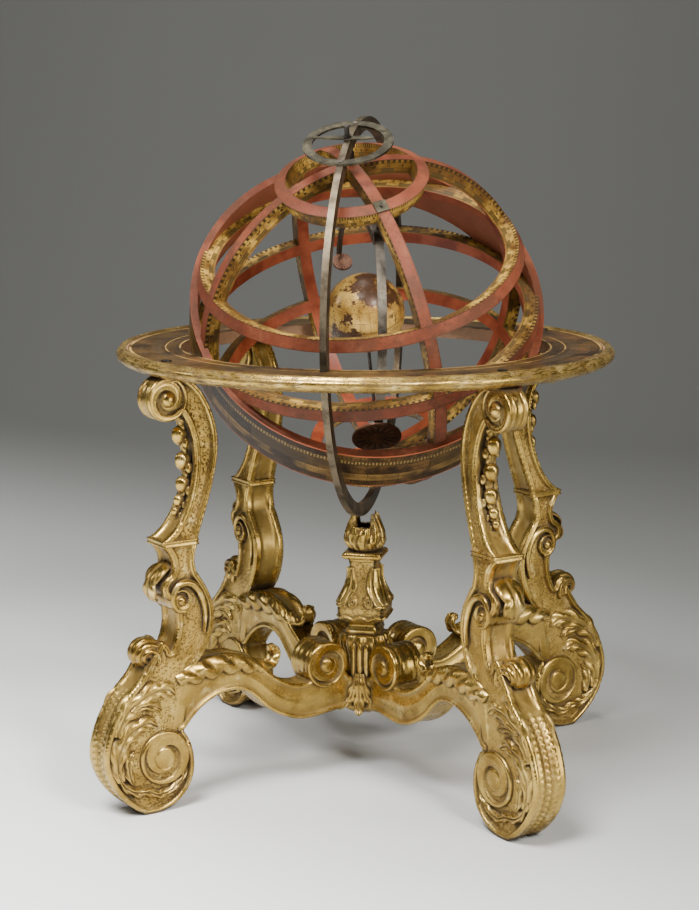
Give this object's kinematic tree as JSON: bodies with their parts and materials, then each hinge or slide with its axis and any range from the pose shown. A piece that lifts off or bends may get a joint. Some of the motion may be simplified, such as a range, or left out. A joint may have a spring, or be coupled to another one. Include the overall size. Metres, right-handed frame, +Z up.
{
  "type": "armillary sphere on stand",
  "caption": "Armillary sphere of red hoops with a zodiac band, Earth, Sun and Moon, tipping in a horizon ring on a carved gilt stand with scroll legs.",
  "frame": {"origin": "centre of the four feet on the table, on the vertical axis of the stand", "axes": "+Z up; the meridian ring stands in the Y-Z plane and the north pole leans to -Y, the front; +X is the right-hand side seen from the front"},
  "size_m": [0.4665, 0.4666, 0.6218],
  "materials": {
    "gilt_wood": "carved, gilded over red bole, worn, satin",
    "bare_wood": "plain, matt",
    "horizon_wood": "dark stained, satin",
    "engraved_paper": "printed with scales, browned varnish, glossy",
    "dark_bronze": "dark patina, satin",
    "dial_metal": "grey-green patina, mottled",
    "dark_iron": "dark, satin",
    "steel": "polished, lightly worn",
    "red_pasteboard": "red paint outside, printed and varnished paper on the flat sides",
    "zodiac_pasteboard": "printed and varnished paper outside, red-brown inside",
    "globe_paper": "printed map, browned varnish, glossy",
    "sun_bronze": "dark patina, engraved"
  },
  "bodies": {
    "stand": {"horizon_ring": "horizon_wood", "horizon_paper": "engraved_paper", "horizon_moulding": "gilt_wood", "ring_screws": "dark_iron", "leg_front_right": "gilt_wood", "leg_back_right": "gilt_wood", "leg_back_left": "gilt_wood", "leg_front_left": "gilt_wood", "stretcher_front_right": "gilt_wood", "stretcher_back_right": "gilt_wood", "stretcher_back_left": "gilt_wood", "stretcher_front_left": "gilt_wood", "leg_dowels": "bare_wood", "hub_dowels": "bare_wood", "centre_column": "gilt_wood", "column_collar": "gilt_wood", "flame_finial": "gilt_wood", "finial_tenon": "bare_wood"},
    "meridian": {"meridian_ring": "dark_bronze", "hour_circle": "dial_metal", "hour_circle_screws": "steel", "south_rod": "dark_iron", "south_nut": "dark_iron"},
    "sphere": {"solstitial_colure": "red_pasteboard", "equinoctial_colure": "red_pasteboard", "arctic_circle": "red_pasteboard", "tropic_of_cancer": "red_pasteboard", "equator": "red_pasteboard", "tropic_of_capricorn": "red_pasteboard", "antarctic_circle": "red_pasteboard", "zodiac_band": "zodiac_pasteboard", "north_axle": "dark_iron", "north_collar": "dark_iron", "hand_washer": "dark_iron", "south_bush": "dark_iron", "ecliptic_pin": "dark_iron", "ecliptic_plate": "dial_metal", "pin_nut": "dark_iron"},
    "hand": {"hour_hand": "dial_metal"},
    "earth": {"earth_globe": "globe_paper"},
    "sun": {"sun_arm": "steel", "sun_disc": "sun_bronze", "sun_rivet": "dark_iron"},
    "moon": {"moon_arm": "steel", "moon_disc": "sun_bronze"}
  },
  "joints": [
    {"name": "meridian_tilt", "type": "hinge", "parent": "stand", "child": "meridian", "pos_m": [0, 0, 0.4353], "axis": [1, 0, 0], "range_deg": [-25.9, 50]},
    {"name": "sphere_spin", "type": "hinge", "parent": "meridian", "child": "sphere", "pos_m": [0, 0, 0.4353], "axis": [0, -0.4377, 0.8991], "continuous": true},
    {"name": "hand_spin", "type": "hinge", "parent": "sphere", "child": "hand", "pos_m": [0, 0, 0.4353], "axis": [0, -0.4377, 0.8991], "continuous": true},
    {"name": "earth_spin", "type": "hinge", "parent": "meridian", "child": "earth", "pos_m": [0, 0, 0.4353], "axis": [0, -0.4377, 0.8991], "continuous": true},
    {"name": "sun_orbit", "type": "hinge", "parent": "sphere", "child": "sun", "pos_m": [0, 0, 0.4353], "axis": [0.2234, -0.6976, 0.6808], "continuous": true},
    {"name": "moon_orbit", "type": "hinge", "parent": "sphere", "child": "moon", "pos_m": [0, 0, 0.4353], "axis": [0.2234, -0.6976, 0.6808], "continuous": true}
  ]
}
